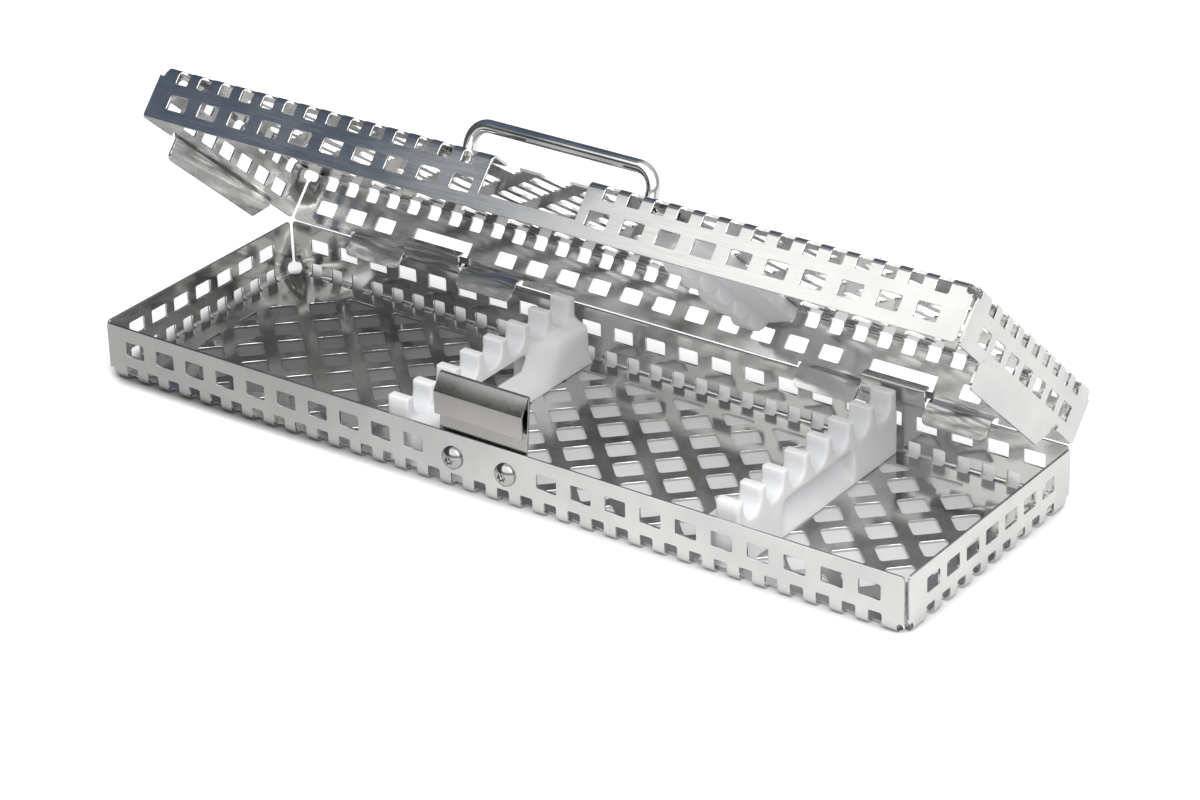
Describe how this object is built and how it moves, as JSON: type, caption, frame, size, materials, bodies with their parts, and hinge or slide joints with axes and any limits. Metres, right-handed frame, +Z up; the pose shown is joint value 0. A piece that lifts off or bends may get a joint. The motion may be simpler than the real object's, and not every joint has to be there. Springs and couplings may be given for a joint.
{
  "type": "dental instrument cassette",
  "caption": "Perforated stainless instrument cassette with a hinged lid, a sprung front latch, toothed plastic racks, a hold-down comb and a folding wire handle.",
  "frame": {"origin": "middle of the underside of the base", "axes": "+X along the length, -Y to the front with the latch, +Z up"},
  "size_m": [0.288, 0.1025, 0.0953],
  "materials": {
    "tray_steel": "electropolished stainless sheet",
    "rack_plastic": "milky white moulding",
    "spring_steel": "brushed spring sheet",
    "screw_steel": "satin stainless",
    "wire_steel": "polished stainless wire"
  },
  "bodies": {
    "base": {"base_tray": "tray_steel", "rack_left": "rack_plastic", "rack_right": "rack_plastic", "latch_foot": "spring_steel", "latch_screws": "screw_steel", "latch_nuts": "screw_steel"},
    "latch": {"latch_hook": "spring_steel"},
    "lid": {"lid_tray": "tray_steel", "hold_down_comb": "rack_plastic", "handle_clips": "spring_steel"},
    "handle": {"wire_handle": "wire_steel"}
  },
  "joints": [
    {"name": "lid_hinge", "type": "hinge", "parent": "base", "child": "lid", "pos_m": [0, 0.0446, 0.0176], "axis": [-1, 0, 0], "range_deg": [-42.3, 100]},
    {"name": "latch_flex", "type": "hinge", "parent": "base", "child": "latch", "pos_m": [0, -0.04315, 0.0148], "axis": [-1, 0, 0], "range_deg": [0, 10.5], "stiffness_Nm_per_rad": 0.6},
    {"name": "handle_pivot", "type": "hinge", "parent": "lid", "child": "handle", "pos_m": [0, -0.00382, 0.08088], "axis": [-1, 0, 0], "range_deg": [0, 66]}
  ]
}
